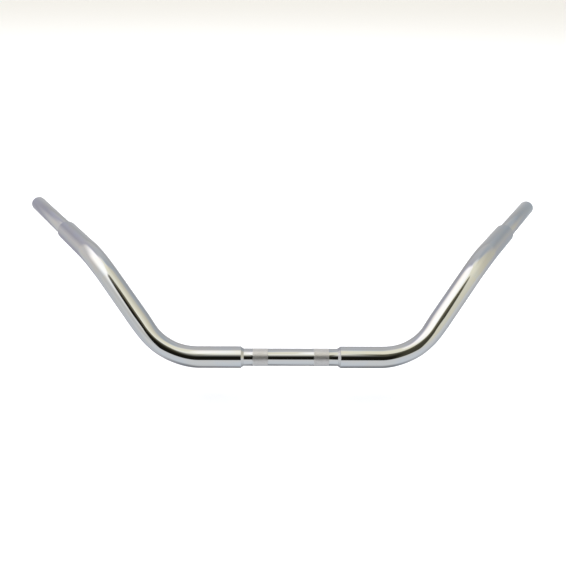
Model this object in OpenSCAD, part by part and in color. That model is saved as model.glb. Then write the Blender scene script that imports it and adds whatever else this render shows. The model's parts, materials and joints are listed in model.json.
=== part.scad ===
// Motorcycle handlebar with fat bent side tubes and thin clamp and grip sections, chromed steel.
// Two bent main tubes are slipped over a straight clamp tube at the middle and over a grip tube
// at each end, and each of the four steps is filled by a ring of weld that is ground to a cone.
//
// The origin is the middle of the clamp tube. The bar runs along X, the rider sits on +Y, +Z is up,
// and the bar is turned so that both grips are level. Left and right are the rider's: left is +X.

/* [Tubes] */
// Outside diameter of the two bent main tubes
main_d = 31.75; // [29:0.25:40]
// Outside diameter of the clamp tube and of both grip tubes
thin_d = 25.4; // [21:0.1:26]
// Wall of the clamp tube and of both grip tubes
thin_wall = 3.05; // [2:0.05:4]
// Depth turned off the thin tubes where they enter the main tubes
spigot_turn = 0.25; // [0.2:0.01:0.4]
// Radial play of a spigot in its main tube
slip_gap = 0.1; // [0.02:0.01:0.2]

/* [Clamp section] */
// Bare length of the clamp tube, from one weld to the other
clamp_clear = 137; // [128:1:220]
// Length of the clamp tube that is hidden in each main tube
clamp_insert = 38; // [20:1:45]
// Distance between the middles of the two knurled seats
seat_spacing = 88.9; // [74:0.1:100]
// Width of a knurled seat
seat_w = 22; // [15:1:27]
// Height of the knurl above the tube
seat_rise = 0.2; // [0.05:0.05:0.4]

/* [Bends] */
// Straight main tube before the riser bend
clamp_lead = 60; // [48:1:100]
// Radius of both bends at the middle of the tube
bend_r = 99; // [80:1:130]
// Angle of the bend that turns the tube up into the riser
riser_bend = 53.7; // [40:0.1:70]
// Straight main tube between the two bends
riser_run = 100.5; // [60:0.5:160]
// Turn of the tube in the bender between the two bends
bend_twist = 98.5; // [75:0.5:115]
// Angle of the bend that turns the tube back to the rider
grip_bend = 40.8; // [30:0.1:60]
// Straight main tube after the grip bend
grip_lead = 101; // [84:1:150]
// How far a bend draws the tube in, all round
bend_draw = 0.1; // [0.05:0.01:0.3]

/* [Grip ends] */
// Bare length of a grip tube, from its weld to the end of the bar
grip_clear = 162; // [120:1:220]
// Length of a grip tube that is hidden in its main tube
grip_insert = 50; // [25:1:80]
// Depth of the reamed mouth that takes a bar-end plug
ream_depth = 50; // [20:1:80]
// How much the reamer opens the bore, in radius
ream_cut = 0.25; // [0.2:0.05:0.5]
// Bevel of the outer rim at the end of the bar
rim_bevel = 0.8; // [0.3:0.1:0.9]
// Bevel of the bore at the end of the bar
bore_bevel = 0.5; // [0.2:0.1:0.6]

/* [Welds] */
// Length of a ground weld along the tube
weld_len = 4; // [2:0.5:8]
// Edge of the main tube that a weld leaves bare
weld_land = 0.25; // [0.1:0.05:0.6]
// Radial seam between a weld and its spigot
weld_seam = 0.05; // [0.01:0.01:0.1]
// Bevel that leads a spigot into its main tube
spigot_bevel = 1; // [0.5:0.1:1.5]

/* [Hidden] */
$fn = 96;
main_r = main_d / 2;
thin_r = thin_d / 2;
bore_r = thin_r - thin_wall;
ream_r = bore_r + ream_cut;
spigot_r = thin_r - spigot_turn;
main_bore_r = spigot_r + slip_gap;
seat_r = thin_r + seat_rise;
// Where each main tube starts, counted along the bar from its middle
main_start = clamp_clear / 2 + weld_len;
clamp_half = main_start + clamp_insert;
// How far a straight laps over a bend
bend_lap = 0.5;
// How far a cut runs past the end that it opens
cut_over = 1;
// Lean of the risers that brings both grips level
grip_back = sin(grip_bend) * sin(bend_twist);
grip_up = cos(grip_bend) * sin(riser_bend) + sin(grip_bend) * cos(bend_twist) * cos(riser_bend);
riser_lean = atan2(grip_up, grip_back);

// Frames along the left half of the bar. In each, the tube runs along +Z and the next bend turns to +X.
module half_start() {
    rotate([-riser_lean, 0, 0]) rotate([0, 90, 0]) rotate([0, 0, 180]) children();
}

module past_bend(angle) {
    translate([bend_r * (1 - cos(angle)), 0, bend_r * sin(angle)]) rotate([0, angle, 0]) children();
}

module at_main_start() {
    half_start() translate([0, 0, main_start]) children();
}

module at_riser_bend() {
    at_main_start() translate([0, 0, clamp_lead]) children();
}

module at_riser() {
    at_riser_bend() past_bend(riser_bend) children();
}

module at_grip_bend() {
    at_riser() translate([0, 0, riser_run]) rotate([0, 0, -bend_twist]) children();
}

module at_grip_lead() {
    at_grip_bend() past_bend(grip_bend) children();
}

module at_main_end() {
    at_grip_lead() translate([0, 0, grip_lead]) children();
}

module right_side() {
    mirror([1, 0, 0]) children();
}

// A bent rod that leaves the origin along +Z and turns towards +X
module bent_rod(r, angle) {
    translate([bend_r, 0, 0]) mirror([1, 0, 0]) rotate([90, 0, 0]) rotate_extrude(angle = angle, $fn = 180) {
        translate([bend_r, 0]) circle(r = r);
    }
}

// The whole route of a main tube as a solid rod; over is how far it runs past both ends.
// The straights lap a little over the bends, where the tube is drawn in.
module main_rod(r, over) {
    bent_r = r - bend_draw;
    at_main_start() translate([0, 0, -over]) cylinder(r = r, h = over + clamp_lead + bend_lap);
    at_riser_bend() bent_rod(bent_r, riser_bend);
    at_riser() translate([0, 0, -bend_lap]) cylinder(r = r, h = riser_run + 2 * bend_lap);
    at_grip_bend() bent_rod(bent_r, grip_bend);
    at_grip_lead() translate([0, 0, -bend_lap]) cylinder(r = r, h = bend_lap + grip_lead + over);
}

module main_tube() {
    color([0.80, 0.82, 0.85]) difference() {
        main_rod(main_r, 0);
        main_rod(main_bore_r, cut_over);
    }
}

// Profile of a grip tube: its spigot lies below zero and its bare length above
module grip_tube() {
    spigot_end = -weld_len - grip_insert;
    color([0.77, 0.79, 0.83]) rotate_extrude() polygon([
        [bore_r, spigot_end],
        [spigot_r - spigot_bevel, spigot_end],
        [spigot_r, spigot_end + spigot_bevel],
        [spigot_r, 0],
        [thin_r, 0],
        [thin_r, grip_clear - rim_bevel],
        [thin_r - rim_bevel, grip_clear],
        [ream_r + bore_bevel, grip_clear],
        [ream_r, grip_clear - bore_bevel],
        [ream_r, grip_clear - ream_depth],
        [bore_r, grip_clear - ream_depth]
    ]);
}

// A ring of weld that rises from the main tube's end face at zero and runs out on the thin tube
module weld_ring() {
    color([0.70, 0.72, 0.76]) rotate_extrude() polygon([
        [spigot_r + weld_seam, 0],
        [main_r - weld_land, 0],
        [thin_r, weld_len],
        [spigot_r + weld_seam, weld_len]
    ]);
}

// A spigot of the clamp tube, from the weld's edge to the bevelled end inside the main tube
module clamp_spigot() {
    spigot_len = weld_len + clamp_insert;
    translate([0, 0, clamp_clear / 2]) {
        cylinder(r = spigot_r, h = spigot_len - spigot_bevel);
        translate([0, 0, spigot_len - spigot_bevel])
            cylinder(r1 = spigot_r, r2 = spigot_r - spigot_bevel, h = spigot_bevel);
    }
}

module clamp_tube() {
    color([0.78, 0.80, 0.84]) rotate([0, 90, 0]) difference() {
        union() {
            cylinder(r = thin_r, h = clamp_clear, center = true);
            for (side = [0, 1]) mirror([0, 0, side]) {
                clamp_spigot();
                translate([0, 0, seat_spacing / 2]) cylinder(r = seat_r, h = seat_w, center = true);
            }
        }
        cylinder(r = bore_r, h = 2 * (clamp_half + cut_over), center = true);
    }
}

module left_main_tube() {
    main_tube();
}

module right_main_tube() {
    right_side() main_tube();
}

module left_grip_tube() {
    at_main_end() translate([0, 0, weld_len]) grip_tube();
}

module right_grip_tube() {
    right_side() left_grip_tube();
}

module left_clamp_weld() {
    at_main_start() mirror([0, 0, 1]) weld_ring();
}

module right_clamp_weld() {
    right_side() left_clamp_weld();
}

module left_grip_weld() {
    at_main_end() weld_ring();
}

module right_grip_weld() {
    right_side() left_grip_weld();
}

clamp_tube();
left_main_tube();
right_main_tube();
left_grip_tube();
right_grip_tube();
left_clamp_weld();
right_clamp_weld();
left_grip_weld();
right_grip_weld();
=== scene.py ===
"""Chromed motorcycle handlebar: its finished meshes, its finishes, and the studio that it stands in."""

import json
import math

import bpy
from bpy.props import FloatProperty, FloatVectorProperty, IntProperty, PointerProperty
from mathutils import Matrix, Vector


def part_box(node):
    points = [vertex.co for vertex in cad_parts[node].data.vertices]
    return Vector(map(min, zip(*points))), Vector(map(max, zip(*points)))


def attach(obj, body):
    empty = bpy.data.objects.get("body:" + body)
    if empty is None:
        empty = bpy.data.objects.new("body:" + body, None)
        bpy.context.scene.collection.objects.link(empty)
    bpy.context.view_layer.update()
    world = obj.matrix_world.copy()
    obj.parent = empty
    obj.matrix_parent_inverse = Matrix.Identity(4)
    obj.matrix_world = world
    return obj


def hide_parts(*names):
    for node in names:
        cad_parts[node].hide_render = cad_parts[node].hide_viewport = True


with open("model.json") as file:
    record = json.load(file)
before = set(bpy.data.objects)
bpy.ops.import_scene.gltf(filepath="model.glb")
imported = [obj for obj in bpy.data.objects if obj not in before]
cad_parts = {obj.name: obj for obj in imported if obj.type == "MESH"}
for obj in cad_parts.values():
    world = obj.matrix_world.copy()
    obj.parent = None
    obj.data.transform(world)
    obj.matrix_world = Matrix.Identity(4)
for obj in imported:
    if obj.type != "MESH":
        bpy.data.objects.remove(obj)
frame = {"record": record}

bl_info = {
    "name": "Chromed handlebar",
    "version": (1, 0, 0),
    "blender": (4, 5, 0),
    "location": "View3D > Sidebar > Handlebar",
    "description": "Models a chromed motorcycle handlebar, its finishes and a studio around it",
    "category": "Object",
}

MM = 0.001
FULL_TURN = 2 * math.pi
MERGE_WITHIN = 0.002 * MM
DEGREES = 180 / math.pi
UNBENT = "unbent"
ACROSS = ("left", "right")
MOUNTS = {mount["name"]: mount for mount in frame["record"]["mounts"]}


def mount_radius(name):
    return MOUNTS[name]["dims"]["r_mm"] * MM


def mount_length(name):
    return MOUNTS[name]["dims"]["length_mm"] * MM


# Sizes that the frame gives: mounts for the bare tube and its seats, boxes for the rest
THIN_RADIUS = mount_radius("centre_seat")
SEAT_RADIUS = mount_radius("left_riser_seat")
SEAT_WIDTH = mount_length("left_riser_seat")
SEAT_MIDDLE = MOUNTS["left_riser_seat"]["pos_m"][0]
MOUTH_RADIUS = mount_radius("left_bar_end_bore")
BAR_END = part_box("left_grip_tube")[1]
MAIN_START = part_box("left_main_tube")[0].x
MAIN_RADIUS = -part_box("left_main_tube")[0].z
WELD_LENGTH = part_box("left_clamp_weld")[1].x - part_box("left_clamp_weld")[0].x
CLAMP_TUBE_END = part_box("clamp_tube")[1].x


def length_size(default, words):
    return FloatProperty(
        name=words, description=words, default=default, unit="LENGTH", subtype="DISTANCE", precision=5)


def angle_size(degrees, words):
    return FloatProperty(
        name=words, description=words, default=math.radians(degrees), unit="ROTATION", subtype="ANGLE")


def colour(default, words):
    return FloatVectorProperty(
        name=words, description=words, default=default, subtype="COLOR", size=3, min=0, max=1)


def place_size(default, words):
    return FloatVectorProperty(
        name=words, description=words, default=default, subtype="XYZ", unit="LENGTH", size=3)


def plain_number(default, words, highest=1):
    return FloatProperty(name=words, description=words, default=default, min=0, max=highest)


def count_size(default, words, lowest, highest):
    return IntProperty(name=words, description=words, default=default, min=lowest, max=highest)


class BarSizes(bpy.types.PropertyGroup):
    """The bend recipe of the bar and the sizes that the finished meshes add to it."""

    clamp_lead: length_size(60 * MM, "Straight main tube before the riser bend")
    bend_radius: length_size(99 * MM, "Radius of both bends at the middle of the tube")
    riser_bend: angle_size(53.7, "Angle of the bend that turns the tube up")
    riser_run: length_size(100.5 * MM, "Straight main tube between the bends")
    bend_twist: angle_size(98.5, "Turn of the tube between the bends")
    grip_bend: angle_size(40.8, "Angle of the bend that turns the tube back")
    grip_lead: length_size(101 * MM, "Straight main tube after the grip bend")
    main_wall: length_size(3.325 * MM, "Wall of the main tubes")
    riser_flattening: plain_number(0.08, "How much the riser bend presses the tube flat in its plane", 0.15)
    grip_flattening: plain_number(0.035, "How much the grip bend presses the tube flat in its plane", 0.15)
    widening: plain_number(0.4, "How much of its flattening a bend gives back to the tube's width")
    flattening_fade: length_size(44 * MM, "Length over which the flattening of a bend grows and fades")
    tube_sides: count_size(128, "Faces round a main tube", 32, 256)
    bend_rings: count_size(44, "Rings of faces along a bend", 8, 96)
    thin_wall: length_size(3.05 * MM, "Wall of the clamp tube and of the grip tubes")
    grip_insert: length_size(50 * MM, "Length of a grip tube that is hidden in its main tube")
    spigot_turn: length_size(0.25 * MM, "Depth turned off a thin tube inside its main tube")
    ream_depth: length_size(50 * MM, "Depth of the reamed mouth at the end of the bar")
    rim_round: length_size(0.7 * MM, "Rounding of the rims at the end of the bar")
    weld_land: length_size(0.25 * MM, "Edge of a main tube that a weld leaves bare")
    weld_seam: length_size(0.05 * MM, "Radial seam between a weld and its spigot")
    weld_dip: length_size(0.25 * MM, "How far a ground weld dips below a straight cone")
    weld_steps: count_size(8, "Rings of faces along a ground weld", 3, 24)
    grind_depth: length_size(0.03 * MM, "Height of the waves that hand grinding leaves on a weld")
    knurl_rows: count_size(18, "Rows of diamonds across a seat", 6, 40)
    knurl_teeth: count_size(64, "Diamonds round a seat", 24, 120)
    knurl_depth: length_size(0.14 * MM, "Depth of the knurl from its crests")
    knurl_slope: length_size(0.12 * MM, "Width of a knurl flank")


class Finishes(bpy.types.PropertyGroup):
    """Colours and roughness of the plating."""

    plate: colour((0.545, 0.556, 0.571), "Chrome plate")
    knurl_plate: colour((0.64, 0.637, 0.65), "Chrome plate on the knurl")
    weld_plate: colour((0.53, 0.54, 0.555), "Chrome plate on the welds")
    gloss: plain_number(0.03, "Roughness of the buffed plate")
    knurl_gloss: plain_number(0.30, "Roughness of the knurl")


class Studio(bpy.types.PropertyGroup):
    """The camera and the light tent."""

    camera_place: place_size((-0.0435, -0.8868, 0.5248), "Where the camera stands")
    heading: angle_size(-1.95, "Heading of the camera, counted from straight ahead to the left")
    pitch: angle_size(-24.55, "Pitch of the camera, below the horizon")
    roll: angle_size(1.12, "Roll of the camera")
    lens: FloatProperty(
        name="Lens", description="Focal length in mm on a sensor 36 mm wide", default=44.52, min=10, max=200)
    floor_drop: length_size(60 * MM, "Gap between the floor and the lowest tube")
    floor_size: length_size(120, "Width of the floor")
    floor_colour: colour((0.93, 0.93, 0.93), "Floor")
    backdrop: colour((0.88, 0.88, 0.87), "Plain backdrop")
    window_place: place_size((0.01, -0.5, 0.83), "Middle of the lit window in front")
    window_width: length_size(0.54, "Width of the lit window")
    window_height: length_size(1.14, "Height of the lit window")
    window_light: plain_number(1.5, "Radiance of the lit window", 10)
    softbox_size: length_size(6, "Width of the lamp overhead")
    softbox_height: length_size(5, "Height of the lamp overhead")
    softbox_power: FloatProperty(
        name="Lamp power", description="Power of the lamp overhead in watts", default=260, min=0)
    softbox_colour: colour((0.80, 0.86, 1.0), "Lamp overhead")


def sizes():
    return bpy.context.scene.handlebar_sizes


def finishes():
    return bpy.context.scene.handlebar_finishes


def studio():
    return bpy.context.scene.handlebar_studio


# ---------------------------------------------------------------- shader nodes


class Wire:
    """One socket of a node tree, or a number, that can stand in a sum."""

    def __init__(self, board, socket):
        self.board = board
        self.socket = socket

    def _with(self, operation, first, second):
        return self.board.add("ShaderNodeMath", {"operation": operation}, {0: first, 1: second})

    def __add__(self, other):
        return self._with("ADD", self, other)

    def __radd__(self, other):
        return self._with("ADD", other, self)

    def __sub__(self, other):
        return self._with("SUBTRACT", self, other)

    def __rsub__(self, other):
        return self._with("SUBTRACT", other, self)

    def __mul__(self, other):
        return self._with("MULTIPLY", self, other)

    def __rmul__(self, other):
        return self._with("MULTIPLY", other, self)

    def __truediv__(self, other):
        return self._with("DIVIDE", self, other)

    def __pow__(self, other):
        return self._with("POWER", self, other)

    def __neg__(self):
        return self._with("MULTIPLY", self, -1)

    def __abs__(self):
        return self.board.add("ShaderNodeMath", {"operation": "ABSOLUTE"}, {0: self})


class Board:
    """A node tree that is emptied and filled again by expressions."""

    def __init__(self, owner):
        owner.use_nodes = True
        self.tree = owner.node_tree
        self.tree.nodes.clear()

    def add(self, kind, settings=None, inputs=None, out=0):
        """Adds a node, sets it up, feeds its sockets, and returns one of its outputs."""
        node = self.tree.nodes.new(kind)
        for key, value in (settings or {}).items():
            setattr(node, key, value)
        for key, value in (inputs or {}).items():
            socket = node.inputs[key]
            if isinstance(value, Wire):
                self.tree.links.new(value.socket, socket)
            else:
                socket.default_value = value
        return Wire(self, node.outputs[out]) if node.outputs else None

    def split(self, vector):
        """The three parts of a vector."""
        first = self.add("ShaderNodeSeparateXYZ", None, {0: vector})
        return [Wire(self, output) for output in first.socket.node.outputs]

    def smooth(self, value, low, high, start=0.0, end=1.0):
        """Goes from start to end, smoothly, as value goes from low to high."""
        if low > high:
            low, high, start, end = high, low, end, start
        sockets = {"Value": value, "From Min": low, "From Max": high, "To Min": start, "To Max": end}
        return self.add("ShaderNodeMapRange", {"interpolation_type": "SMOOTHSTEP"}, sockets)

    def most(self, first, second):
        """The larger of two values."""
        return self.add("ShaderNodeMath", {"operation": "MAXIMUM"}, {0: first, 1: second})

    def blend(self, factor, first, second):
        """Mixes two colours."""
        settings = {"data_type": "RGBA", "blend_type": "MIX"}
        return self.add("ShaderNodeMix", settings, {0: factor, 6: first, 7: second}, out=2)

    def tint(self, strength, shade):
        """A colour times a value."""
        grey = self.add("ShaderNodeCombineXYZ", None, {0: strength, 1: strength, 2: strength})
        shade = shade if isinstance(shade, Wire) else shade[:3]
        return self.add("ShaderNodeVectorMath", {"operation": "MULTIPLY"}, {0: grey, 1: shade})

    def stretch(self, coordinates, scale, shift=(0, 0, 0)):
        return self.add("ShaderNodeMapping", None, {"Vector": coordinates, "Scale": scale, "Location": shift})

    def noise(self, coordinates, detail=3.0, rough=0.5):
        sockets = {"Vector": coordinates, "Scale": 1.0, "Detail": detail, "Roughness": rough}
        return self.add("ShaderNodeTexNoise", None, sockets)


def opaque(rgb):
    return (*rgb, 1.0)


def bare_plate(name):
    """A new material, its board, and the coordinates that follow the tube as if it had never been bent."""
    material = bpy.data.materials.new(name)
    board = Board(material)
    along = board.add("ShaderNodeAttribute", {"attribute_name": UNBENT}, out=1)
    return material, board, along


def close_plate(board, base, roughness, relief, relief_depth):
    """Ends a material in a metal surface with a bump."""
    bumped = board.add("ShaderNodeBump", None, {"Height": relief, "Distance": relief_depth, "Strength": 1.0})
    sockets = {"Base Color": base, "Metallic": 1.0, "Roughness": roughness, "Normal": bumped}
    surface = board.add("ShaderNodeBsdfPrincipled", None, sockets)
    board.add("ShaderNodeOutputMaterial", None, {"Surface": surface})


def mirror_plate():
    """Buffed chrome plate: a mirror with faint draw lines, buffing marks and haze."""
    material, board, along = bare_plate("mirror_chrome_plate")
    draw_lines = board.noise(board.stretch(along, (18, 900, 900)), detail=2)
    buffing = board.noise(board.stretch(along, (2600, 260, 260)), detail=3, rough=0.6)
    haze = board.noise(board.stretch(along, (34, 60, 60)), detail=4, rough=0.55)
    ripple = board.noise(board.stretch(along, (22, 48, 48)), detail=1)
    worn = board.smooth(haze, 0.52, 0.74)
    hairlines = board.noise(board.stretch(along, (90, 3800, 3800), (3, 0, 0)), detail=1)
    scratches = board.smooth(hairlines, 0.70, 0.78)
    gloss = finishes().gloss
    roughness = gloss * 0.6 + draw_lines * (gloss * 0.5) + buffing * (gloss * 0.4)
    roughness = roughness + worn * 0.03 + scratches * 0.05
    plate = finishes().plate
    warm = (plate[0] * 1.02, plate[1] * 1.0, plate[2] * 0.965)
    cool = (plate[0] * 0.985, plate[1] * 1.0, plate[2] * 1.02)
    base = board.blend(board.smooth(haze, 0.35, 0.65), opaque(warm), opaque(cool))
    relief = ripple * 1.0 + draw_lines * 0.012 + buffing * 0.006
    close_plate(board, base, roughness, relief, 0.020 * MM)
    return material


def knurled_plate():
    """Chrome plate of the clamp tube: a mirror on the bare tube, satin on the knurl, and painted shade that
    darkens the knurl's grooves.
    """
    material, board, along = bare_plate("knurled_chrome_plate")
    length, side, up = board.split(along)
    height = (side ** 2 + up ** 2) ** 0.5
    off_middle = abs(abs(length) - SEAT_MIDDLE)
    on_seat = board.smooth(off_middle, SEAT_WIDTH / 2 + 0.15 * MM, SEAT_WIDTH / 2 - 0.15 * MM)
    groove = board.smooth(height, SEAT_RADIUS - 0.05 * MM, SEAT_RADIUS - 0.15 * MM)
    grain = board.noise(board.stretch(along, (1500, 1500, 1500)), detail=3, rough=0.6)
    haze = board.noise(board.stretch(along, (34, 60, 60)), detail=4, rough=0.55)
    buffing = board.noise(board.stretch(along, (2600, 260, 260)), detail=3, rough=0.6)
    ripple = board.noise(board.stretch(along, (22, 48, 48)), detail=1)
    gloss = finishes().gloss
    smooth_gloss = gloss * 0.8 + buffing * (gloss * 0.4)
    rough_gloss = finishes().knurl_gloss + grain * 0.12 + groove * 0.12
    roughness = smooth_gloss + on_seat * (rough_gloss - smooth_gloss)
    plate, knurl = finishes().plate, finishes().knurl_plate
    # Painted shade: the base colour in the knurl's grooves is darkened by up to a sixth.
    painted_groove_shade = tuple(0.8 * part for part in knurl)
    seat_colour = board.blend(groove * 0.8, opaque(knurl), opaque(painted_groove_shade))
    bare_colour = board.blend(haze, opaque(plate), opaque(tuple(0.98 * part for part in plate)))
    base = board.blend(on_seat, bare_colour, seat_colour)
    relief = ripple * 1.0 + on_seat * (grain * 0.35)
    close_plate(board, base, roughness, relief, 0.020 * MM)
    return material


def weld_plate():
    """Chrome plate over a ground weld: soft grinding marks round the tube."""
    material, board, along = bare_plate("ground_weld_plate")
    grinding = board.noise(board.stretch(along, (2400, 160, 160)), detail=3, rough=0.6)
    lumps = board.noise(board.stretch(along, (260, 190, 190)), detail=3, rough=0.5)
    gloss = finishes().gloss
    roughness = gloss + grinding * 0.06 + board.smooth(lumps, 0.5, 0.75) * 0.05
    plate = finishes().weld_plate
    dull = tuple(0.93 * part for part in plate)
    base = board.blend(board.smooth(lumps, 0.35, 0.65), opaque(plate), opaque(dull))
    relief = lumps * 1.0 + grinding * 0.08
    close_plate(board, base, roughness, relief, 0.05 * MM)
    return material


# ---------------------------------------------------------------- modelling


def start_object():
    """Leaves object mode with nothing selected."""
    if bpy.context.object and bpy.context.object.mode != "OBJECT":
        bpy.ops.object.mode_set(mode="OBJECT")
    bpy.ops.object.select_all(action="DESELECT")


def only(piece):
    start_object()
    piece.select_set(True)
    bpy.context.view_layer.objects.active = piece
    return piece


def settle(piece, name):
    """Names the object at hand and puts its place into its mesh."""
    piece.name = name
    piece.data.name = name
    bpy.ops.object.transform_apply(location=True, rotation=True, scale=True)


def open_mesh(piece):
    """Goes into edit mode with all of the piece selected."""
    only(piece)
    bpy.ops.object.mode_set(mode="EDIT")
    bpy.ops.mesh.select_mode(type="VERT")
    bpy.ops.mesh.select_all(action="SELECT")


def select_in(piece, mode, chosen):
    """Selects the vertices, edges or faces that chosen picks, in edit mode."""
    bpy.ops.mesh.select_mode(type=mode)
    bpy.ops.mesh.select_all(action="DESELECT")
    bpy.ops.object.mode_set(mode="OBJECT")
    parts = {"VERT": piece.data.vertices, "EDGE": piece.data.edges, "FACE": piece.data.polygons}[mode]
    for part in parts:
        part.select = bool(chosen(part))
    bpy.ops.object.mode_set(mode="EDIT")


def close_shell():
    """Merges the seams of a turned or swept shape and points its faces outwards."""
    bpy.ops.mesh.select_all(action="SELECT")
    bpy.ops.mesh.remove_doubles(threshold=MERGE_WITHIN)
    bpy.ops.mesh.normals_make_consistent(inside=False)


def turn_profile(name, profile, sides):
    """Draws a closed profile of (along, radius) points and spins it round X."""
    start_object()
    points = [Vector((along, 0, radius)) for along, radius in profile]
    bpy.ops.mesh.primitive_plane_add(size=MM, location=points[0])
    piece = bpy.context.object
    settle(piece, name)
    open_mesh(piece)
    bpy.ops.mesh.merge(type="CENTER")
    for here, there in zip(points, points[1:] + points[:1]):
        bpy.ops.mesh.extrude_region_move(TRANSFORM_OT_translate={"value": there - here})
    bpy.ops.mesh.select_all(action="SELECT")
    bpy.ops.mesh.remove_doubles(threshold=MERGE_WITHIN)
    bpy.ops.mesh.select_all(action="SELECT")
    bpy.ops.mesh.spin(steps=sides, angle=FULL_TURN, center=(0, 0, 0), axis=(1, 0, 0))
    close_shell()
    bpy.ops.object.mode_set(mode="OBJECT")
    return piece


def round_edges(piece, width, sharper_than=25, segments=3):
    bevel = only(piece).modifiers.new("round", "BEVEL")
    bevel.width = width
    bevel.segments = segments
    bevel.limit_method = "ANGLE"
    bevel.angle_limit = math.radians(sharper_than)
    bpy.ops.object.modifier_apply(modifier=bevel.name)


def smooth_shading(piece, sharper_than=30):
    only(piece)
    bpy.ops.object.shade_smooth_by_angle(angle=math.radians(sharper_than))


def keep_unbent(piece, places=None):
    """Stores where each vertex lies on the straight tube: at the given places, or where it lies now."""
    attribute = piece.data.attributes.new(UNBENT, "FLOAT_VECTOR", "POINT")
    places = places or [vertex.co for vertex in piece.data.vertices]
    attribute.data.foreach_set("vector", [part for point in places for part in point])


def place(piece, matrix):
    """Moves a finished mesh, and keeps its object at the origin."""
    piece.data.transform(matrix)
    piece.data.update()


def mirrored(piece, name):
    """The same piece for the other side of the bar, with its own mesh."""
    twin = piece.copy()
    twin.data = piece.data.copy()
    twin.name = twin.data.name = name
    bpy.context.scene.collection.objects.link(twin)
    only(twin)
    twin.scale = (-1, 1, 1)
    bpy.ops.object.transform_apply(location=False, rotation=False, scale=True)
    open_mesh(twin)
    bpy.ops.mesh.normals_make_consistent(inside=False)
    bpy.ops.object.mode_set(mode="OBJECT")
    return twin


def hand_over(piece, node, material):
    """Gives a piece its finish and lets it stand for its CAD node."""
    piece.data.materials.clear()
    piece.data.materials.append(material)
    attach(piece, "root")
    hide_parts(node)


# ---------------------------------------------------------------- the route of the bar


class Route:
    """The middle line of the left half of the bar, straight after straight and bend after bend."""

    def __init__(self, bar):
        self.lean = self._lean(bar)
        self.stretches = []
        self.at = Vector((MAIN_START, 0, 0))
        self.ahead = Vector((1, 0, 0))
        self.inward = Vector((0, 0, 1))
        self.run = MAIN_START
        self._straight(bar.clamp_lead)
        self._bend(bar.bend_radius, bar.riser_bend, bar.riser_flattening)
        self._straight(bar.riser_run)
        self.inward = Matrix.Rotation(-bar.bend_twist, 3, self.ahead) @ self.inward
        self._bend(bar.bend_radius, bar.grip_bend, bar.grip_flattening)
        self._straight(bar.grip_lead)

    @staticmethod
    def _lean(bar):
        """Lean of the risers that brings the grips level."""
        back = math.sin(bar.grip_bend) * math.sin(bar.bend_twist)
        up = math.cos(bar.grip_bend) * math.sin(bar.riser_bend)
        up += math.sin(bar.grip_bend) * math.cos(bar.bend_twist) * math.cos(bar.riser_bend)
        return math.atan2(up, back)

    def _note(self, **facts):
        """Adds a stretch that starts where the route has come to."""
        start = {"start": self.at.copy(), "ahead": self.ahead.copy(), "inward": self.inward.copy()}
        self.stretches.append({**start, "run": self.run, **facts})

    def _straight(self, length):
        self._note(length=length, radius=0)
        self.at = self.at + self.ahead * length
        self.run += length

    def _bend(self, radius, angle, flattening):
        centre = self.at + self.inward * radius
        axis = self.ahead.cross(self.inward)
        self._note(length=radius * angle, radius=radius, angle=angle, centre=centre, axis=axis,
                   flattening=flattening)
        turn = Matrix.Rotation(angle, 3, axis)
        self.at = centre + turn @ (self.at - centre)
        self.ahead = turn @ self.ahead
        self.inward = turn @ self.inward
        self.run += radius * angle

    def bends(self):
        return [stretch for stretch in self.stretches if stretch["radius"]]

    def level(self):
        """Turns the bar from the plane of its risers to level grips."""
        return Matrix.Rotation(-self.lean, 4, "X")

    def end_frame(self, past):
        """Where X runs out along the grip, counted from the outer end of the main tube."""
        ahead, up = self.ahead, self.inward
        side = up.cross(ahead)
        turn = Matrix((ahead, side, up)).transposed().to_4x4()
        return self.level() @ Matrix.Translation(self.at + ahead * past) @ turn


def bend_share(bend, run, fade):
    """How much of a bend's flattening a place along the bar has, from 0 to 1."""
    growing = min(max((run - bend["run"]) / fade, 0), 1)
    shrinking = min(max((bend["run"] + bend["length"] + fade / 2 - run) / fade, 0), 1)
    return growing ** 2 * (3 - 2 * growing) * shrinking ** 2 * (3 - 2 * shrinking)


# ---------------------------------------------------------------- operators


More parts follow.
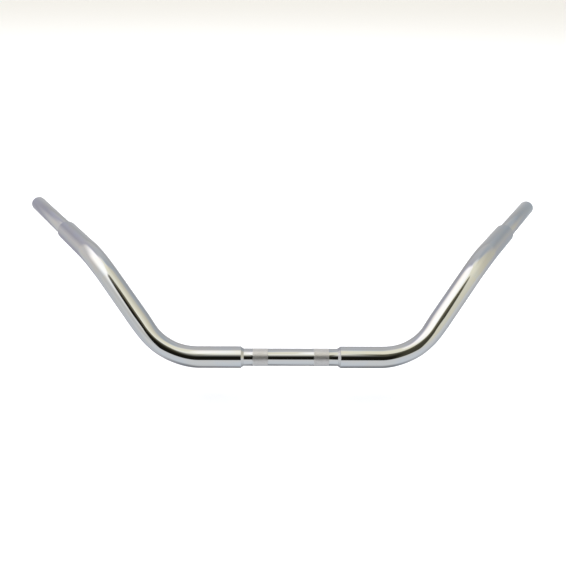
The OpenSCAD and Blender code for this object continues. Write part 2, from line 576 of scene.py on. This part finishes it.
class HANDLEBAR_OT_main_tubes(bpy.types.Operator):
    """Sweep, flatten and hollow the two bent main tubes"""

    bl_idname = "handlebar.main_tubes"
    bl_label = "Main tubes"

    def execute(self, context):
        bar = sizes()
        route = Route(bar)
        start_object()
        bpy.ops.mesh.primitive_circle_add(
            vertices=bar.tube_sides, radius=MAIN_RADIUS, location=(MAIN_START, 0, 0),
            rotation=(0, math.pi / 2, 0))
        left = context.object
        settle(left, "main_tube_left")
        open_mesh(left)
        for stretch in route.stretches:
            self.sweep(stretch, bar)
        bpy.ops.object.mode_set(mode="OBJECT")
        self.flatten(left, route, bar)
        self.hollow(left, bar)
        place(left, route.level())
        self.check_end(left)
        smooth_shading(left)
        right = mirrored(left, "main_tube_right")
        material = mirror_plate()
        for piece, side in zip((left, right), ACROSS):
            hand_over(piece, side + "_main_tube", material)
        return {"FINISHED"}

    @staticmethod
    def sweep(stretch, bar):
        """Draws the last ring out along a straight or round a bend."""
        if stretch["radius"]:
            bpy.ops.mesh.spin(
                steps=bar.bend_rings, angle=-stretch["angle"], center=stretch["centre"], axis=stretch["axis"])
            return
        ring_gap = bar.bend_radius * bar.riser_bend / bar.bend_rings * 2
        steps = max(1, round(stretch["length"] / ring_gap))
        step = stretch["ahead"] * (stretch["length"] / steps)
        for _ in range(steps):
            bpy.ops.mesh.extrude_region_move(TRANSFORM_OT_translate={"value": step})

    @staticmethod
    def flatten(piece, route, bar):
        """Presses the tube oval in its bends and notes each vertex's unbent place."""
        unbent = []
        for vertex in piece.data.vertices:
            run, middle, ahead, inward = locate(route, vertex.co)
            side = ahead.cross(inward)
            offset = vertex.co - middle
            unbent.append((run, offset.dot(side), offset.dot(inward)))
            for bend in route.bends():
                share = bend_share(bend, run, bar.flattening_fade) * bend["flattening"]
                if share:
                    towards = bend_inward(bend, run)
                    across = ahead.cross(towards)
                    offset -= towards * offset.dot(towards) * share
                    offset += across * offset.dot(across) * share * bar.widening
            vertex.co = middle + offset
        keep_unbent(piece, unbent)

    @staticmethod
    def hollow(piece, bar):
        wall = only(piece).modifiers.new("wall", "SOLIDIFY")
        wall.thickness = bar.main_wall
        wall.offset = -1
        wall.use_even_offset = True
        open_mesh(piece)
        bpy.ops.mesh.normals_make_consistent(inside=False)
        bpy.ops.object.mode_set(mode="OBJECT")
        bpy.ops.object.modifier_apply(modifier=wall.name)

    @staticmethod
    def check_end(piece):
        """The swept tube has to end where the CAD tube does."""
        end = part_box("left_main_tube")[1].x
        outer = max(vertex.co.x for vertex in piece.data.vertices)
        if abs(outer - end) > 0.5 * MM:
            raise RuntimeError(f"the main tube ends at {outer:.4f}, the CAD tube at {end:.4f}")


def bend_inward(bend, run):
    """Direction from the middle line to a bend's centre, carried on along the straights beside it."""
    angle = min(max((run - bend["run"]) / bend["radius"], 0), bend["angle"])
    return Matrix.Rotation(angle, 3, bend["axis"]) @ bend["inward"]


def locate(route, point):
    """Distance along the bar, middle of the tube, direction and inward direction at a point of a tube."""
    best = None
    for stretch in route.stretches:
        if stretch["radius"]:
            arm = point - stretch["centre"]
            arm -= stretch["axis"] * arm.dot(stretch["axis"])
            start = -stretch["inward"]
            angle = math.atan2(arm.dot(stretch["ahead"]), arm.dot(start))
            angle = min(max(angle, 0), stretch["angle"])
            turn = Matrix.Rotation(angle, 3, stretch["axis"])
            middle = stretch["centre"] + turn @ start * stretch["radius"]
            ahead, inward = turn @ stretch["ahead"], turn @ stretch["inward"]
            run = stretch["run"] + angle * stretch["radius"]
        else:
            reach = (point - stretch["start"]).dot(stretch["ahead"])
            reach = min(max(reach, 0), stretch["length"])
            middle = stretch["start"] + stretch["ahead"] * reach
            ahead, inward = stretch["ahead"], stretch["inward"]
            run = stretch["run"] + reach
        miss = abs((point - middle).length - MAIN_RADIUS) + abs((point - middle).dot(ahead))
        if best is None or miss < best[0]:
            best = (miss, run, middle, ahead, inward)
    return best[1:]


class HANDLEBAR_OT_clamp_tube(bpy.types.Operator):
    """Turn the clamp tube and knurl its two seats"""

    bl_idname = "handlebar.clamp_tube"
    bl_label = "Clamp tube"

    def execute(self, context):
        bar = sizes()
        tube = turn_profile("clamp_tube_knurled", self.profile(bar), bar.knurl_teeth)
        self.knurl(tube, bar)
        keep_unbent(tube)
        smooth_shading(tube)
        hand_over(tube, "clamp_tube", knurled_plate())
        return {"FINISHED"}

    @staticmethod
    def profile(bar):
        """The wall of the tube from end to end, with one point for each row of the knurl."""
        bore = THIN_RADIUS - bar.thin_wall
        spigot = THIN_RADIUS - bar.spigot_turn
        bare_end = MAIN_START - WELD_LENGTH
        floor = SEAT_RADIUS - bar.knurl_depth
        row = SEAT_WIDTH / bar.knurl_rows
        outer = [(-CLAMP_TUBE_END, spigot), (-bare_end, spigot), (-bare_end, THIN_RADIUS)]
        for middle in (-SEAT_MIDDLE, SEAT_MIDDLE):
            edge = middle - SEAT_WIDTH / 2
            outer.append((edge - row / 4, THIN_RADIUS))
            outer += [(edge + row * step, floor) for step in range(bar.knurl_rows + 1)]
            outer.append((middle + SEAT_WIDTH / 2 + row / 4, THIN_RADIUS))
        outer += [(bare_end, THIN_RADIUS), (bare_end, spigot), (CLAMP_TUBE_END, spigot)]
        return outer + [(CLAMP_TUBE_END, bore), (-CLAMP_TUBE_END, bore)]

    @staticmethod
    def knurl(tube, bar):
        """Turns the squares of each seat into raised diamonds."""
        half, slack = SEAT_WIDTH / 2, 0.01 * MM
        floor = SEAT_RADIUS - bar.knurl_depth

        def on_seat(along):
            return abs(abs(along) - SEAT_MIDDLE) < half + slack

        def outside(point):
            return math.hypot(point.y, point.z) > floor - 0.1 * MM

        def knurled(face):
            ends = [tube.data.vertices[corner].co.x for corner in face.vertices]
            return on_seat(face.center.x) and outside(face.center) and all(map(on_seat, ends))

        def between_squares(edge):
            ends = [tube.data.vertices[end] for end in edge.vertices]
            if any(end.index >= corner_count for end in ends):
                return False
            middle = (ends[0].co + ends[1].co) / 2
            return abs(abs(middle.x) - SEAT_MIDDLE) < half - slack and outside(middle)

        # Each square gets a point at its middle, and the old edges between two squares are taken out
        corner_count = len(tube.data.vertices)
        open_mesh(tube)
        select_in(tube, "FACE", knurled)
        bpy.ops.mesh.poke(offset=0)
        select_in(tube, "EDGE", between_squares)
        bpy.ops.mesh.dissolve_edges(use_verts=False)
        select_in(tube, "FACE", knurled)
        bpy.ops.mesh.inset(
            use_individual=True, thickness=bar.knurl_slope, depth=bar.knurl_depth, use_even_offset=True)
        bpy.ops.object.mode_set(mode="OBJECT")


class HANDLEBAR_OT_grip_tubes(bpy.types.Operator):
    """Turn the two grip tubes and set them on the ends of the bar"""

    bl_idname = "handlebar.grip_tubes"
    bl_label = "Grip tubes"

    def execute(self, context):
        bar = sizes()
        route = Route(bar)
        frame_matrix = route.end_frame(WELD_LENGTH)
        bare = self.bare_length(frame_matrix)
        left = turn_profile("grip_tube_left", self.profile(bar, bare), bar.tube_sides)
        round_edges(left, bar.rim_round)
        keep_unbent(left)
        place(left, frame_matrix)
        smooth_shading(left)
        right = mirrored(left, "grip_tube_right")
        material = bpy.data.materials.get("mirror_chrome_plate") or mirror_plate()
        for piece, side in zip((left, right), ACROSS):
            hand_over(piece, side + "_grip_tube", material)
        return {"FINISHED"}

    @staticmethod
    def bare_length(matrix):
        """Length of tube between the weld and the end of the bar, from the CAD tube's box."""
        ahead = matrix.to_3x3() @ Vector((1, 0, 0))
        rim = THIN_RADIUS * math.sqrt(1 - ahead.x ** 2)
        return (BAR_END.x - rim - matrix.translation.x) / ahead.x

    @staticmethod
    def profile(bar, bare):
        bore = THIN_RADIUS - bar.thin_wall
        spigot = THIN_RADIUS - bar.spigot_turn
        hidden = -(WELD_LENGTH + bar.grip_insert)
        reamed = bare - bar.ream_depth
        outer = [(hidden, spigot), (0, spigot), (0, THIN_RADIUS), (bare, THIN_RADIUS)]
        return outer + [(bare, MOUTH_RADIUS), (reamed, MOUTH_RADIUS), (reamed, bore), (hidden, bore)]


class HANDLEBAR_OT_welds(bpy.types.Operator):
    """Turn the four ground welds and set them on the steps of the bar"""

    bl_idname = "handlebar.welds"
    bl_label = "Ground welds"

    def execute(self, context):
        bar = sizes()
        route = Route(bar)
        material = weld_plate()
        inner_frame = Matrix.Translation((MAIN_START, 0, 0)) @ Matrix.Rotation(math.pi, 4, "Y")
        for which, matrix in (("clamp", inner_frame), ("grip", route.end_frame(0))):
            left = turn_profile("weld_" + which + "_left", self.profile(bar), bar.tube_sides)
            self.grind(left, bar.grind_depth)
            keep_unbent(left)
            place(left, matrix)
            smooth_shading(left, 50)
            right = mirrored(left, "weld_" + which + "_right")
            for piece, side in zip((left, right), ACROSS):
                hand_over(piece, side + "_" + which + "_weld", material)
        return {"FINISHED"}

    @staticmethod
    def profile(bar):
        """A fillet that dips a little below a straight cone."""
        inner = THIN_RADIUS - bar.spigot_turn + bar.weld_seam
        top = MAIN_RADIUS - bar.weld_land
        slope = []
        for step in range(bar.weld_steps + 1):
            share = step / bar.weld_steps
            dip = bar.weld_dip * math.sin(math.pi * share)
            slope.append((WELD_LENGTH * share, top + (THIN_RADIUS - top) * share - dip * (1 - share)))
        return [(0, inner)] + slope + [(WELD_LENGTH, inner)]

    @staticmethod
    def grind(piece, depth):
        """Leaves the slight unevenness of hand grinding on the slope."""
        for vertex in piece.data.vertices:
            around = math.atan2(vertex.co.z, vertex.co.y)
            share = vertex.co.x / WELD_LENGTH
            radius = math.hypot(vertex.co.y, vertex.co.z)
            if 0.05 < share < 0.95 and radius > THIN_RADIUS + 0.05 * MM:
                wave = math.sin(7 * around + 0.6) + 0.7 * math.sin(12 * around + 2.1)
                wave += 0.5 * math.sin(19 * around)
                lift = depth * wave * math.sin(math.pi * share)
                vertex.co.y += lift * math.cos(around)
                vertex.co.z += lift * math.sin(around)


def tent_light(board, turn, rise):
    """Radiance that the plate reflects. Turn is the heading, 0 in front and positive to the right, and rise
    the height above the horizon, both in degrees."""
    straight_back = board.smooth(abs(turn), 140, 174)
    leftness = board.smooth(turn, 14, -30) * (1 - straight_back)
    behind_left = board.smooth(turn + board.smooth(rise, 25, 42) * 16, -115, -137)
    behind_right = board.smooth(turn, 110, 138)
    behind = board.most(behind_left, behind_right)
    corners_dim = 0.86 + straight_back * 0.14

    # Walls: a bright one high on the left, a cream one on the right, a dim one behind, and a pale roof
    key_wall = board.smooth(rise - board.smooth(turn, -85, -110) * 10, 17, 52, 0.87, 1.80)
    far_wall = 1.06 - board.smooth(turn, 38, 115) * 0.30 + board.smooth(rise, 30, 66) * 0.18
    back_wall = board.smooth(rise, 18, 30, 0.61, 0.75) + board.smooth(rise, 62, 84) * 0.60
    walls = far_wall + leftness * (key_wall - far_wall)
    walls = walls + behind * (back_wall * corners_dim - walls)
    roof = board.smooth(rise, 68, 84)
    walls = walls + roof * (1.28 + leftness * 0.34 - walls)

    # Ground: brightest in front, dim behind and under the bar
    ground = 0.98 - board.smooth(turn, 60, 115) * 0.28 - board.smooth(turn, -55, -85) * 0.14
    ground = ground + behind * ((0.55 + behind_right * 0.05) * corners_dim - ground)
    under = board.smooth(rise, -50, -72)
    ground = ground * (1 - under * (0.14 + board.smooth(abs(turn), 12, 58) * 0.40))

    # Tints: cream on the right, white on the left, cooler behind, neutral straight back
    cream = board.blend(board.smooth(turn, 60, 105), (1.03, 0.99, 0.80, 1.0), (1.05, 1.0, 0.81, 1.0))
    white = board.blend(board.smooth(turn, -50, -100), (1.01, 1.0, 0.96, 1.0), (1.04, 0.99, 0.955, 1.0))
    wall_tint = board.blend(leftness, cream, white)
    back_tint = board.blend(behind_right, (1.0, 0.985, 1.12, 1.0), (0.93, 1.0, 1.06, 1.0))
    back_tint = board.blend(straight_back, back_tint, (1.0, 1.0, 1.01, 1.0))
    wall_tint = board.blend(behind * (1 - roof), wall_tint, back_tint)
    ground_tint = board.blend(board.smooth(rise, -5, -45), (1.0, 1.0, 0.985, 1.0), (0.965, 1.0, 1.035, 1.0))
    ground_tint = board.blend(behind, ground_tint, back_tint)
    below = board.smooth(rise, 2, -2)
    surroundings = board.blend(below, board.tint(walls, wall_tint), board.tint(ground, ground_tint))

    # Doorway: a dark arch in front, with a sill that rises on the right and a faint haze high inside
    arch_rise = 33.5 + board.smooth(turn, 5, 22) * 3.6
    arch = (abs(turn - 1) / 38.5) ** 1.6 + (board.most(rise - 32, 0) / arch_rise) ** 1.6
    sill = board.smooth(rise - board.smooth(turn, 8, 24) * 5, -5, 1)
    doorway = board.smooth(arch, 1.04, 0.96) * sill
    haze = board.smooth(rise, 24, 60) * board.smooth(abs(turn), 26, 9) * 0.12
    inside = haze + 0.012 + board.smooth(turn, 14, 22) * 0.07 + board.smooth(rise, 46, 60) * 0.08
    return board.blend(doorway, surroundings, board.tint(inside, (1.08, 1.0, 0.66, 1.0)))


class HANDLEBAR_OT_studio(bpy.types.Operator):
    """Set up the floor, the light tent and the camera"""

    bl_idname = "handlebar.studio"
    bl_label = "Studio"

    def execute(self, context):
        self.floor(context)
        self.window(context)
        self.softbox(context.scene)
        self.light_tent(context.scene)
        self.camera(context.scene)
        context.scene.view_settings.view_transform = "Standard"
        return {"FINISHED"}

    @staticmethod
    def floor(context):
        start_object()
        room = studio()
        height = -MAIN_RADIUS - room.floor_drop
        bpy.ops.mesh.primitive_plane_add(size=room.floor_size, location=(0, 0, height))
        floor = context.object
        settle(floor, "studio_floor")
        material = bpy.data.materials.new("pale_floor")
        board = Board(material)
        spot = board.add("ShaderNodeTexCoord", None, None, out=3)
        mottle = board.noise(board.stretch(spot, (9, 9, 9)), detail=4)
        pale = room.floor_colour
        base = board.blend(mottle, opaque(pale), opaque(tuple(0.995 * part for part in pale)))
        sockets = {"Base Color": base, "Roughness": 1.0, "Specular IOR Level": 0.0}
        surface = board.add("ShaderNodeBsdfPrincipled", None, sockets)
        board.add("ShaderNodeOutputMaterial", None, {"Surface": surface})
        floor.data.materials.append(material)
        floor.visible_glossy = False

    @staticmethod
    def window(context):
        """A lit window in front of the doorway. Only the plate mirrors it."""
        start_object()
        room = studio()
        width, height = room.window_width, room.window_height
        bpy.ops.mesh.primitive_plane_add(size=1, location=room.window_place, rotation=(math.pi / 2, 0, 0))
        window = context.object
        window.scale = (width, height, 1)
        settle(window, "studio_window")
        material = bpy.data.materials.new("window_glow")
        board = Board(material)
        spot = board.add("ShaderNodeTexCoord", None, None, out=3)
        side, _, up = board.split(spot)
        across = side - room.window_place[0]
        above_sill = up - (room.window_place[2] - height / 2)
        brightness = board.smooth(above_sill, 0, height * 0.72, 0.0, room.window_light)
        soft_sides = board.smooth(abs(across), width / 2, width * 0.32)
        shape = soft_sides * board.smooth(above_sill, height, height * 0.8)
        glow = board.add("ShaderNodeEmission", None, {"Color": board.tint(brightness, (1.02, 1.0, 0.88))})
        clear = board.add("ShaderNodeBsdfTransparent")
        surface = board.add("ShaderNodeMixShader", None, {0: shape, 1: clear, 2: glow})
        board.add("ShaderNodeOutputMaterial", None, {"Surface": surface})
        window.data.materials.append(material)
        for sight in ("camera", "diffuse", "transmission", "volume_scatter", "shadow"):
            setattr(window, "visible_" + sight, False)

    @staticmethod
    def softbox(scene):
        """A wide lamp overhead that whitens the floor. The plate doesn't mirror it."""
        room = studio()
        lamp = bpy.data.lights.new("overhead_softbox", "AREA")
        lamp.shape = "SQUARE"
        lamp.size = room.softbox_size
        lamp.energy = room.softbox_power
        lamp.color = room.softbox_colour
        softbox = bpy.data.objects.new("overhead_softbox", lamp)
        scene.collection.objects.link(softbox)
        softbox.location = (0, 0, room.softbox_height)
        softbox.visible_glossy = False
        softbox.visible_camera = False

    @staticmethod
    def light_tent(scene):
        """A pale tent, brightest high on the left, dimmer and cooler behind, with a dark doorway in front.
        The plate mirrors it, and a plain pale backdrop stands before it."""
        scene.world = bpy.data.worlds.new("light_tent")
        board = Board(scene.world)
        direction = board.add("ShaderNodeTexCoord", None, None, out=0)
        x, y, z = board.split(direction)
        turn = board.add("ShaderNodeMath", {"operation": "ARCTAN2"}, {0: x, 1: -y}) * DEGREES
        rise = board.add("ShaderNodeMath", {"operation": "ARCSINE"}, {0: z}) * DEGREES
        radiance = tent_light(board, turn, rise)
        seen = board.add("ShaderNodeLightPath", None, None, out=0)
        backdrop = board.blend(seen, radiance, opaque(studio().backdrop))
        light = board.add("ShaderNodeBackground", None, {"Color": backdrop, "Strength": 1.0})
        board.add("ShaderNodeOutputWorld", None, {"Surface": light})

    @staticmethod
    def camera(scene):
        room = studio()
        data = bpy.data.cameras.new("studio_camera")
        data.sensor_width = 36
        data.lens = room.lens
        data.clip_start, data.clip_end = 0.01, 500
        camera = bpy.data.objects.new("studio_camera", data)
        scene.collection.objects.link(camera)
        camera.location = room.camera_place
        upright = Matrix.Rotation(math.pi / 2 + room.pitch, 4, "X")
        turned = Matrix.Rotation(room.heading, 4, "Z") @ upright @ Matrix.Rotation(room.roll, 4, "Z")
        camera.rotation_euler = turned.to_euler()
        scene.camera = camera


class HANDLEBAR_PT_sidebar(bpy.types.Panel):
    """Lists the steps that make the handlebar"""

    bl_idname = "HANDLEBAR_PT_sidebar"
    bl_label = "Handlebar"
    bl_space_type = "VIEW_3D"
    bl_region_type = "UI"
    bl_category = "Handlebar"

    def draw(self, context):
        for step in STEPS:
            self.layout.operator(step.bl_idname)
        for group in (sizes(), finishes(), studio()):
            for name in group.bl_rna.properties.keys():
                if name not in ("rna_type", "name"):
                    self.layout.prop(group, name)


STEPS = (
    HANDLEBAR_OT_studio,
    HANDLEBAR_OT_clamp_tube,
    HANDLEBAR_OT_main_tubes,
    HANDLEBAR_OT_grip_tubes,
    HANDLEBAR_OT_welds,
)
CLASSES = (BarSizes, Finishes, Studio, *STEPS, HANDLEBAR_PT_sidebar)


def register():
    for one in CLASSES:
        bpy.utils.register_class(one)
    bpy.types.Scene.handlebar_sizes = PointerProperty(type=BarSizes)
    bpy.types.Scene.handlebar_finishes = PointerProperty(type=Finishes)
    bpy.types.Scene.handlebar_studio = PointerProperty(type=Studio)


def unregister():
    del bpy.types.Scene.handlebar_sizes
    del bpy.types.Scene.handlebar_finishes
    del bpy.types.Scene.handlebar_studio
    for one in reversed(CLASSES):
        bpy.utils.unregister_class(one)


def main():
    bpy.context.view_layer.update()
    register()
    bpy.ops.handlebar.studio()
    bpy.ops.handlebar.clamp_tube()
    bpy.ops.handlebar.main_tubes()
    bpy.ops.handlebar.grip_tubes()
    bpy.ops.handlebar.welds()


if __name__ == "__main__":
    main()
